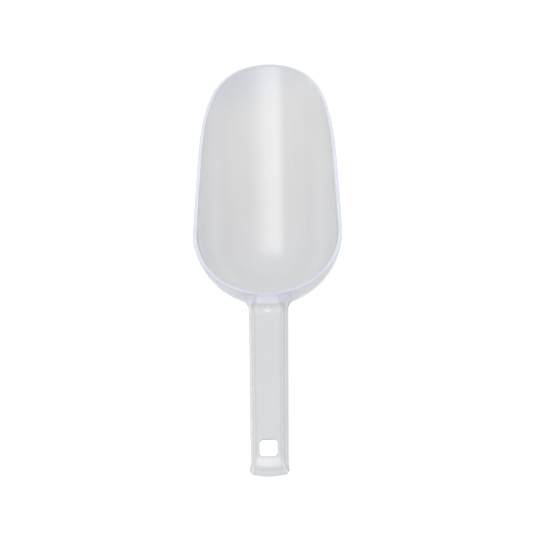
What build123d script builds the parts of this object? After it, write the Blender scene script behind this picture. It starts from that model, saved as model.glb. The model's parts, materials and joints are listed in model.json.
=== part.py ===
from build123d import *
import math
import os

# One-piece injection-moulded ice scoop: a half-capsule bowl, open at the front, with a hollow-backed handle.
# +Y runs along the trough towards the pouring lip, -Y along the handle, +X to the right, +Z up.
# While modelling, the centre of the bowl's round back is at (0, 0, 0) and the trough's axis is Y.

# Driving dimensions, mm
bowl_radius = 40.0        # outside radius of the trough and of its round back
wall = 2.2                # wall of the bowl
handle_wall = 1.8         # wall of the handle: keeps the weight forward, so that it lies on its trough
trough_length = 106.9     # from the centre of the round back to the lip, before the lip is rounded
rim_edge = 0.7            # rounding of the rim's two edges
standing_flat = 0.1       # depth of the narrow flat under the trough that the scoop stands on

rim_back_height = 16.0    # rim above the trough's axis at the very back
rim_back_slope = 25.0     # degrees, fall of the rim there
rim_waist = (37.0, -11.0)  # (Y, Z) of the flattest point of the rim, half way along the sides
rim_waist_slope = 9.0     # degrees
rim_lip_slope = 43.0      # degrees, fall of the rim where it reaches the lip

handle_rise = 12.0        # degrees above the trough's floor line
handle_root_height = 12.6  # handle's top face above the trough's axis, at the bowl's outside
handle_reach = 92.8       # from the bowl's back to the end of the handle, along the handle
handle_depth = 12.0       # top face to the open underside
handle_width_root = 21.2  # across the skirts at the open underside, by the bowl
handle_width_end = 19.6   # and near the end
skirt_draft = 11.0        # degrees, lean of the skirts
end_draft = 5.0           # degrees, lean of the end wall
end_flare = 0.5           # the skirts turn out this much each side before the end, as a stop for the hand
end_flare_length = 5.0    # over this length
handle_end_radius = 36.0  # bow of the end wall, seen from above
end_roll = 5.5            # rounding of the top face into the end wall
handle_edge = 2.8         # rounding of the top face and the end into the skirts
neck_fillet = 5.2         # blend of the handle into the bowl

hole_size = 9.2           # hang hole, across the flats
hole_corner = 2.0
hole_inset = 11.6         # from the end wall, at the open underside, to the middle of the hole
gate_mark = 4.0           # across the low round gate mark behind the bowl
gate_mark_height = 0.45
gate_mark_inset = 4.4     # from the bowl's back to its middle

inner_radius = bowl_radius - wall

# Plane of the handle's top face: local Y runs from the handle's end to the bowl, local Z out of the face
rise = math.radians(handle_rise)
handle_top = Plane(
    origin=(0, -bowl_radius, handle_root_height),
    x_dir=(1, 0, 0),
    z_dir=(0, math.sin(rise), math.cos(rise)),
)
underside = handle_top.offset(-handle_depth)


def falling(degrees):
    """Direction in side view that falls towards the lip by this angle."""
    return (math.cos(math.radians(degrees)), -math.sin(math.radians(degrees)))


def handle_outline(depth, inset, end_inset):
    """Outline of the handle at this depth below its top face, its skirts and end wall drawn in by the insets."""
    half_root = handle_width_root / 2 - inset
    half_end = handle_width_end / 2 - inset
    half_flare = half_end + end_flare
    radius = handle_end_radius - end_inset
    end_y = end_inset - handle_reach
    corner_y = end_y + radius - math.sqrt(radius**2 - half_flare**2)
    flare_y = corner_y + handle_edge + end_flare_length
    with BuildSketch(handle_top.offset(-depth)) as outline:
        with BuildLine():
            side = Line((half_root, 20), (half_end, flare_y))
            flare = Spline(side @ 1, (half_flare, corner_y), tangents=[side % 1, (0, -1)])
            other = Line((-half_root, 20), (-half_end, flare_y))
            other_flare = Spline(other @ 1, (-half_flare, corner_y), tangents=[other % 1, (0, -1)])
            ThreePointArc(other_flare @ 1, (0, end_y), flare @ 1)
            Line(side @ 0, other @ 0)
        make_face()
    return outline.sketch


def round_handle(block, thinner):
    """Roll the top face over into the end wall, then round both into the skirts; thinner on the inside."""
    top = block.faces().sort_by(Axis(handle_top.origin, handle_top.z_dir))[-1]
    fillet(top.edges().sort_by(Axis(handle_top.origin, handle_top.y_dir))[0], end_roll - thinner)
    top = block.faces().sort_by(Axis(handle_top.origin, handle_top.z_dir))[-1]
    fillet(top.edges().filter_by(lambda e: abs((e % 0.5).X) < 0.5), handle_edge - thinner)


lean = math.tan(math.radians(skirt_draft))
end_lean = math.tan(math.radians(end_draft))
skirt_wall = handle_wall / math.cos(math.radians(skirt_draft))
end_wall = handle_wall / math.cos(math.radians(end_draft))
channel_depth = handle_depth - handle_wall

# Hollow of the handle's back: stops at the outside of the bowl
with BuildPart() as channel:
    loft([
        handle_outline(handle_depth, skirt_wall, end_wall),
        handle_outline(handle_wall, skirt_wall + lean * channel_depth, end_wall + end_lean * channel_depth),
    ])
    round_handle(channel, handle_wall)
    with BuildSketch(Plane.XY):
        with BuildLine():
            Line((0, -bowl_radius), (0, bowl_radius))
            RadiusArc((0, bowl_radius), (0, -bowl_radius), bowl_radius)
        make_face()
    revolve(axis=Axis.Y, mode=Mode.SUBTRACT)

with BuildPart() as scoop:
    # Outside of the handle: the underside's outline, drawn in by the draft up to the top face
    loft([
        handle_outline(handle_depth, 0, 0),
        handle_outline(0, lean * handle_depth, end_lean * handle_depth),
    ])
    round_handle(scoop, 0)

    # Outside of the bowl: a cylinder with a spherical back
    with BuildSketch(Plane.YZ):
        with BuildLine():
            Polyline(
                (-bowl_radius, 0), (trough_length + wall, 0),
                (trough_length + wall, -bowl_radius), (0, -bowl_radius),
            )
            RadiusArc((0, -bowl_radius), (-bowl_radius, 0), bowl_radius)
        make_face()
    revolve(axis=Axis.Y)

    # Blend of the handle's top and skirts into the bowl's back
    neck = scoop.edges().filter_by(
        lambda e: abs((e @ 0.3).length - bowl_radius) < 0.01 and (e @ 0.5).Y < -bowl_radius / 2 and (e @ 0.5).Z > 0
    )
    fillet(neck, neck_fillet)

    # Hollow back of the handle, and the bowl's inside at an even wall
    add(channel.part, mode=Mode.SUBTRACT)
    with BuildSketch(Plane.YZ):
        with BuildLine():
            Polyline(
                (-inner_radius, 0), (trough_length + 2 * wall, 0),
                (trough_length + 2 * wall, -inner_radius), (0, -inner_radius),
            )
            RadiusArc((0, -inner_radius), (-inner_radius, 0), inner_radius)
        make_face()
    revolve(axis=Axis.Y, mode=Mode.SUBTRACT)

    # Hang hole
    with BuildSketch(handle_top):
        with Locations((0, hole_inset - handle_reach)):
            RectangleRounded(hole_size, hole_size, hole_corner)
    extrude(amount=-handle_depth, mode=Mode.SUBTRACT)

    # Gate mark: a low round pad with a sloping edge on the handle's top, close behind the bowl
    with BuildSketch(handle_top):
        with Locations((0, -gate_mark_inset)):
            Circle(gate_mark / 2)
    extrude(amount=gate_mark_height, taper=60)

    # Rim: one flowing line in side view, high at the back, flat along the waist, down to the lip
    with BuildSketch(Plane.YZ):
        with BuildLine():
            Spline(
                (-bowl_radius, rim_back_height), rim_waist, (trough_length, -bowl_radius),
                tangents=[falling(rim_back_slope), falling(rim_waist_slope), falling(rim_lip_slope)],
            )
            past_lip = trough_length + 4 * wall
            Polyline(
                (trough_length, -bowl_radius),
                (past_lip, -bowl_radius - 4 * wall * math.tan(math.radians(rim_lip_slope))),
                (past_lip, bowl_radius + wall), (-bowl_radius, bowl_radius + wall),
                (-bowl_radius, rim_back_height),
            )
        make_face()
    extrude(amount=bowl_radius + wall, both=True, mode=Mode.SUBTRACT)
    rim = scoop.faces().filter_by(GeomType.EXTRUSION).edges()
    fillet(rim.filter_by(lambda e: abs((e @ 0).X) + abs((e @ 1).X) > 0.01), rim_edge)

    # Standing flat
    with BuildSketch(Plane.XY.offset(-bowl_radius + standing_flat)):
        with Locations((0, trough_length / 2)):
            Rectangle(bowl_radius, trough_length + bowl_radius)
    extrude(amount=-wall, mode=Mode.SUBTRACT)

print("centre of mass from the middle of the round back", scoop.part.center(CenterOf.MASS))

# Origin under the middle of the whole scoop, on the surface that it stands on
box = scoop.part.bounding_box()
floor_depth = bowl_radius - standing_flat
scoop.part = scoop.part.moved(Location((0, -box.center().Y, floor_depth)))
print("middle of the round back, in the part's own frame:", -box.center().Y, floor_depth)
scoop.part.label = "scoop"
print(scoop.part.bounding_box(), scoop.part.label)

os.makedirs("parts", exist_ok=True)
export_step(scoop.part, "parts/scoop.step")
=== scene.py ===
import json
import math

import bpy
from mathutils import Matrix, Vector

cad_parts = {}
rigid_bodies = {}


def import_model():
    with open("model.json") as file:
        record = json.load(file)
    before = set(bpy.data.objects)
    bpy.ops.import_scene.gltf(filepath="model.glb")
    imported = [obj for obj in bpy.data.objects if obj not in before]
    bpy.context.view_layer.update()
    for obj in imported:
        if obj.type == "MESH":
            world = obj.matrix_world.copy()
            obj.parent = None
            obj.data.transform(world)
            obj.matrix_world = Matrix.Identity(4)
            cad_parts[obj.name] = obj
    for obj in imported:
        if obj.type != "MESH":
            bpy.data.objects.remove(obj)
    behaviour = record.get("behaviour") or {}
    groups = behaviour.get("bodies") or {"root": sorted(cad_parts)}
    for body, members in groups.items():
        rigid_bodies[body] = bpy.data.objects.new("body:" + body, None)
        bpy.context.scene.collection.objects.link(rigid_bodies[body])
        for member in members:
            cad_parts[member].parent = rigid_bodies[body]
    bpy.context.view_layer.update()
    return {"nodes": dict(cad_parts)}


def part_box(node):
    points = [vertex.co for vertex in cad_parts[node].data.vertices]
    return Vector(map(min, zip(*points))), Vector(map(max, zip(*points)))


for thing in list(bpy.data.objects):
    bpy.data.objects.remove(thing)

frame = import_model()
scoop = frame["nodes"]["scoop"]
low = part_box("scoop")[0]

scene = bpy.context.scene
scene.view_settings.view_transform = "Standard"
scene.view_settings.look = "None"

# The bowl is a capsule, in metres: a trough with a ball-shaped back, on a narrow flat.
# Places on the scoop are measured from the middle of that ball.
radius = 0.040
wall = 0.0022
inner_radius = radius - wall
standing_flat = 0.0001
handle_end = 0.13327      # behind the middle of the ball
back = Vector((0, low.y + handle_end, low.z + radius - standing_flat))
gate_mark = (0.0, -0.0443, 0.0137)
root_half_width = 0.0125

# Tones of the plastic, linear. The clear and flow-line tones are the plastic's own; all the others are
# painted light or shade.
clear_tones = (0.662, 0.659, 0.658, 1), (0.68, 0.677, 0.677, 1)
flow_line_tone = (0.56, 0.565, 0.58, 1)
painted_fill_light_tone = (0.95, 0.955, 0.975, 1)
outside_painted_shade_tone = (0.62, 0.632, 0.66, 1)
lip_painted_shadow_tone = (0.53, 0.55, 0.62, 1)
handle_shaded_tone = (0.565, 0.575, 0.59, 1)
skirt_painted_shade_tone = (0.50, 0.515, 0.535, 1)
edge_painted_highlight_tone = (0.70, 0.71, 0.725, 1)
past_root_painted_light_tone = (0.72, 0.73, 0.75, 1)
gate_painted_glint_tone = (0.80, 0.805, 0.82, 1)
root_painted_reflection_tones = (0.43, 0.435, 0.50, 1), (0.52, 0.535, 0.59, 1)
rim_painted_edge_light_tones = (0.58, 0.61, 0.70, 1), (0.50, 0.52, 0.60, 1)


class Nodes:
    """Short ways to wire one shader tree."""

    def __init__(self, tree):
        self.tree = tree

    def make(self, kind, **values):
        made = self.tree.nodes.new(kind)
        for key, value in values.items():
            setattr(made, key, value)
        return made

    def feed(self, socket, value):
        if isinstance(value, bpy.types.NodeSocket):
            self.tree.links.new(value, socket)
        else:
            socket.default_value = value

    def feed_all(self, sockets, values):
        for socket, value in zip(sockets, values):
            self.feed(socket, value)

    def math(self, operation, *values):
        made = self.make("ShaderNodeMath", operation=operation)
        self.feed_all(made.inputs, values)
        return made.outputs[0]

    def product(self, *values):
        made = values[0]
        for value in values[1:]:
            made = self.math("MULTIPLY", made, value)
        return made

    def total(self, *values):
        made = values[0]
        for value in values[1:]:
            made = self.math("ADD", made, value)
        return made

    def vector(self, operation, *values):
        made = self.make("ShaderNodeVectorMath", operation=operation)
        self.feed_all(made.inputs, values)
        gives_number = operation in ("LENGTH", "DISTANCE")
        return made.outputs["Value" if gives_number else "Vector"]

    def split(self, vector):
        made = self.make("ShaderNodeSeparateXYZ")
        self.feed(made.inputs[0], vector)
        return made.outputs

    def join(self, *values):
        made = self.make("ShaderNodeCombineXYZ")
        self.feed_all(made.inputs, values)
        return made.outputs[0]

    def step(self, value, start, end, first=0.0, last=1.0):
        """Smooth step from first to last while value goes from start to end."""
        made = self.make("ShaderNodeMapRange", interpolation_type="SMOOTHSTEP")
        self.feed_all(made.inputs, (value, start, end, first, last))
        return made.outputs[0]

    def band(self, value, start, full, fading, end):
        """0 to 1 while value goes from start to full, and back to 0 from fading to end."""
        return self.product(self.step(value, start, full), self.step(value, fading, end, 1.0, 0.0))

    def noise(self, where, scale, detail, rough, stretch=None):
        made = self.make("ShaderNodeTexNoise")
        if stretch:
            where = self.vector("MULTIPLY", where, stretch)
        self.feed(made.inputs["Vector"], where)
        self.feed(made.inputs["Scale"], scale)
        self.feed(made.inputs["Detail"], detail)
        self.feed(made.inputs["Roughness"], rough)
        return made.outputs[0]

    def mix(self, share, a, b):
        made = self.make("ShaderNodeMix", data_type="RGBA")
        self.feed(made.inputs[0], share)
        self.feed(made.inputs[6], a)
        self.feed(made.inputs[7], b)
        return made.outputs[2]


class Regions:
    """Where a point of the scoop lies, and masks from 0 to 1 for the regions of the scoop."""

    def __init__(self, n, coords):
        self.where = coords.outputs["Object"]
        self.from_back = n.vector("SUBTRACT", self.where, tuple(back))
        self.x, self.y, self.z = n.split(self.from_back)

        # Distance from the capsule's middle line: inner_radius inside the bowl, radius on its outside,
        # more than that on the handle, and between the two on the rim's cut face
        spot = n.join(self.x, n.math("MINIMUM", self.y, 0.0), self.z)
        self.from_axis = n.vector("LENGTH", spot)
        self.rim = n.band(
            self.from_axis,
            inner_radius + 0.00008, inner_radius + 0.0005,
            radius - 0.0005, radius - 0.00008,
        )
        self.outside = n.step(self.from_axis, radius - 0.0003, radius - 0.00005)
        self.grip = n.step(self.from_axis, radius + 0.0005, radius + 0.012)
        # The handle's root, behind the bowl
        self.root = n.product(
            n.band(self.from_axis, radius - 0.0004, radius - 0.0001, radius + 0.0022, radius + 0.0048),
            n.step(n.math("ABSOLUTE", self.x), root_half_width, root_half_width + 0.003, 1.0, 0.0),
            n.step(self.y, -0.030, -0.034),
            n.step(self.z, 0.000, 0.006),
        )

        # The handle's leaning skirts, and the rounding between them and its top
        sideways = n.math("ABSOLUTE", n.split(coords.outputs["Normal"])[0])
        self.skirt = n.step(sideways, 0.15, 0.95)
        self.edge = n.band(self.skirt, 0.35, 0.75, 0.9, 1.0)


def bowl_colour(n, on):
    """Clear plastic with faint flow lines, and painted light that brightens the back, the steep sides and
    the wall below the rim.
    """
    cloud = n.noise(on.where, scale=45, detail=3, rough=0.55)
    colour = n.mix(n.step(cloud, 0.3, 0.7), *clear_tones)
    flow = n.noise(on.where, scale=220, detail=3, rough=0.6, stretch=(1.0, 0.03, 1.0))
    colour = n.mix(n.step(flow, 0.35, 0.7, 0.0, 0.10), colour, flow_line_tone)

    # Shares of the painted light: painted fill light brightens the deep back and the steep sides, where
    # shade falls, and a painted glow lightens the wall below the rim; the sides and the rim have less of it
    # in the front half of the trough
    front_half = 0.075, 0.030
    painted_light_deep = n.step(on.y, 0.030, -0.035, 0.0, 0.425)
    painted_light_steep = n.product(n.step(on.z, -0.032, -0.022, 0.0, 0.30), n.step(on.y, *front_half, 0.4, 1.0))
    painted_glow_below_rim = n.product(n.step(on.z, -0.020, -0.004, 0.0, 0.25), n.step(on.y, *front_half, 0.3, 1.0))
    colour = n.mix(n.total(painted_light_deep, painted_light_steep, painted_glow_below_rim), colour, painted_fill_light_tone)

    # Painted shade on the outside, and a painted shadow that makes the lip darker and bluer, more so on its
    # left
    colour = n.mix(on.outside, colour, outside_painted_shade_tone)
    aslant = n.total(on.y, n.product(on.x, -0.4))
    return n.mix(n.step(aslant, 0.078, 0.112, 0.0, 0.7), colour, lip_painted_shadow_tone)


def handle_colour(n, on):
    """Painted shade on the skirts, a painted highlight on the rounded edge, painted light on the top past
    the root, and a painted glint as a half ring on the gate mark; the whole handle is a darker shaded copy
    of the plastic.
    """
    # The handle is a darker shaded copy of the bowl's plastic, and its sideways-facing skirts get painted
    # shade
    colour = n.mix(on.skirt, handle_shaded_tone, skirt_painted_shade_tone)
    # Painted highlight on the rounding between the skirts and the top
    colour = n.mix(on.edge, colour, edge_painted_highlight_tone)
    # Painted light on the handle's top just past the root
    painted_light_past_root = n.band(on.from_axis, radius + 0.0012, radius + 0.003, radius + 0.0045, radius + 0.011)
    on_top = n.math("SUBTRACT", 1.0, on.skirt)
    colour = n.mix(n.product(painted_light_past_root, on_top), colour, past_root_painted_light_tone)
    # Painted glint: a bright half ring on the lower side of the gate mark
    from_gate = n.vector("DISTANCE", on.from_back, gate_mark)
    painted_glint_half_ring = n.product(
        n.band(from_gate, 0.0008, 0.0014, 0.0020, 0.0026),
        n.step(on.y, -0.0438, -0.0450),
    )
    return n.mix(painted_glint_half_ring, colour, gate_painted_glint_tone)


def plastic(name):
    """Frosted-clear moulded plastic: glossy, slightly rippled, with a painted bluish edge light on the rim's
    cut face and a painted lavender reflection on the root.
    """
    mat = bpy.data.materials.new(name)
    mat.use_nodes = True
    shader = mat.node_tree.nodes["Principled BSDF"]
    n = Nodes(mat.node_tree)
    on = Regions(n, n.make("ShaderNodeTexCoord"))

    colour = n.mix(on.grip, bowl_colour(n, on), handle_colour(n, on))
    # Painted lavender reflection on the root, with painted shade where it faces sideways
    colour = n.mix(on.root, colour, n.mix(on.skirt, *root_painted_reflection_tones))
    # Painted bluish edge light on the rim's cut face, dimmer at the back
    colour = n.mix(on.rim, colour, n.mix(n.step(on.y, -0.010, -0.032), *rim_painted_edge_light_tones))
    n.feed(shader.inputs["Base Color"], colour)

    # Less light goes through the rim, the root and the handle
    through_wall, through_thick, grip_share = 0.5, 0.15, 0.6
    thick = n.math("MAXIMUM", on.rim, on.root)
    through = n.product(
        n.step(thick, 0.0, 1.0, through_wall, through_thick),
        n.step(on.grip, 0.0, 1.0, 1.0, grip_share),
    )
    n.feed(shader.inputs["Transmission Weight"], through)
    shader.inputs["IOR"].default_value = 1.52

    smoothest, roughest = 0.09, 0.16
    haze = n.noise(on.where, scale=260, detail=4, rough=0.6, stretch=(1.0, 0.25, 1.0))
    n.feed(shader.inputs["Roughness"], n.step(haze, 0.25, 0.75, smoothest, roughest))
    ripple = n.noise(on.where, scale=180, detail=2, rough=0.5, stretch=(1.0, 0.5, 1.0))
    bump = n.make("ShaderNodeBump")
    n.feed(bump.inputs["Height"], ripple)
    bump.inputs["Strength"].default_value = 0.04
    bump.inputs["Distance"].default_value = 0.0004
    n.feed(shader.inputs["Normal"], bump.outputs[0])
    return mat


def paper(name):
    """White paper that gives off most of its own light, as on a light table."""
    mat = bpy.data.materials.new(name)
    mat.use_nodes = True
    shader = mat.node_tree.nodes["Principled BSDF"]
    shader.inputs["Base Color"].default_value = (0.12, 0.12, 0.12, 1)
    shader.inputs["Roughness"].default_value = 0.9
    shader.inputs["Specular IOR Level"].default_value = 0.1
    shader.inputs["Emission Color"].default_value = (1, 1, 1, 1)
    shader.inputs["Emission Strength"].default_value = 0.93
    return mat


def studio(name):
    """An even white room with one broad softbox overhead, brightest a little left of the middle."""
    world = bpy.data.worlds.new(name)
    world.use_nodes = True
    n = Nodes(world.node_tree)
    x, y, z = n.split(n.make("ShaderNodeTexCoord").outputs["Generated"])
    degrees = 180 / math.pi
    across = n.product(n.math("ARCTAN2", x, z), degrees)
    along = n.product(n.math("ARCTAN2", y, z), degrees)

    # The softbox's soft edges, in degrees from overhead: where it starts, is full, fades and ends
    edges_across = -31, -15, -9, 34
    edges_along = -82, -50, 20, 32
    softbox = n.product(n.band(across, *edges_across), n.band(along, *edges_along))
    room_strength, softbox_strength = 0.95, 2.75
    strength = n.total(n.product(softbox, softbox_strength), room_strength)
    sky = world.node_tree.nodes["Background"]
    sky.inputs["Color"].default_value = (1, 1, 1, 1)
    n.feed(sky.inputs["Strength"], strength)
    return world


def camera_above(name):
    """Camera above the scoop and a little towards its handle, which looks down on it."""
    tilt = math.radians(76.92)      # below the horizon
    roll = math.radians(-2.32)      # about the scoop's length
    turn = math.radians(-0.97)      # of the picture
    distance = 1.06486              # from the middle of the ball
    aim_right = -0.000417           # from the middle of the ball, in the picture's directions
    aim_down = 0.018861
    across = Vector((math.cos(roll), 0, math.sin(roll)))
    upright = Vector((-math.sin(roll), 0, math.cos(roll)))
    ahead = Vector((0, math.sin(tilt), 0)) + upright * math.cos(tilt)
    to_eye = Vector((0, -math.cos(tilt), 0)) + upright * math.sin(tilt)
    right = across * math.cos(turn) + ahead * math.sin(turn)
    up = ahead * math.cos(turn) - across * math.sin(turn)

    eye = back + to_eye * distance
    target = back + right * aim_right - up * aim_down
    backward = (eye - target).normalized()
    sideways = up.cross(backward).normalized()
    place = Matrix((sideways, backward.cross(sideways), backward)).transposed().to_4x4()
    place.translation = eye

    optics = bpy.data.cameras.new(name)
    optics.sensor_width = 36
    optics.lens = 134.6116
    optics.clip_start = 0.05
    optics.clip_end = 20
    camera = bpy.data.objects.new(name, optics)
    camera.matrix_world = place
    return camera


scoop.data.materials.clear()
scoop.data.materials.append(plastic("scoop_plastic"))

floor_gap = 0.0002
bpy.ops.mesh.primitive_plane_add(size=6, location=(0, 0, low.z - floor_gap))
floor = bpy.context.object
floor.name = "floor"
floor.data.materials.append(paper("floor_paper"))

scene.world = studio("studio")
camera = camera_above("camera")
scene.collection.objects.link(camera)
scene.camera = camera
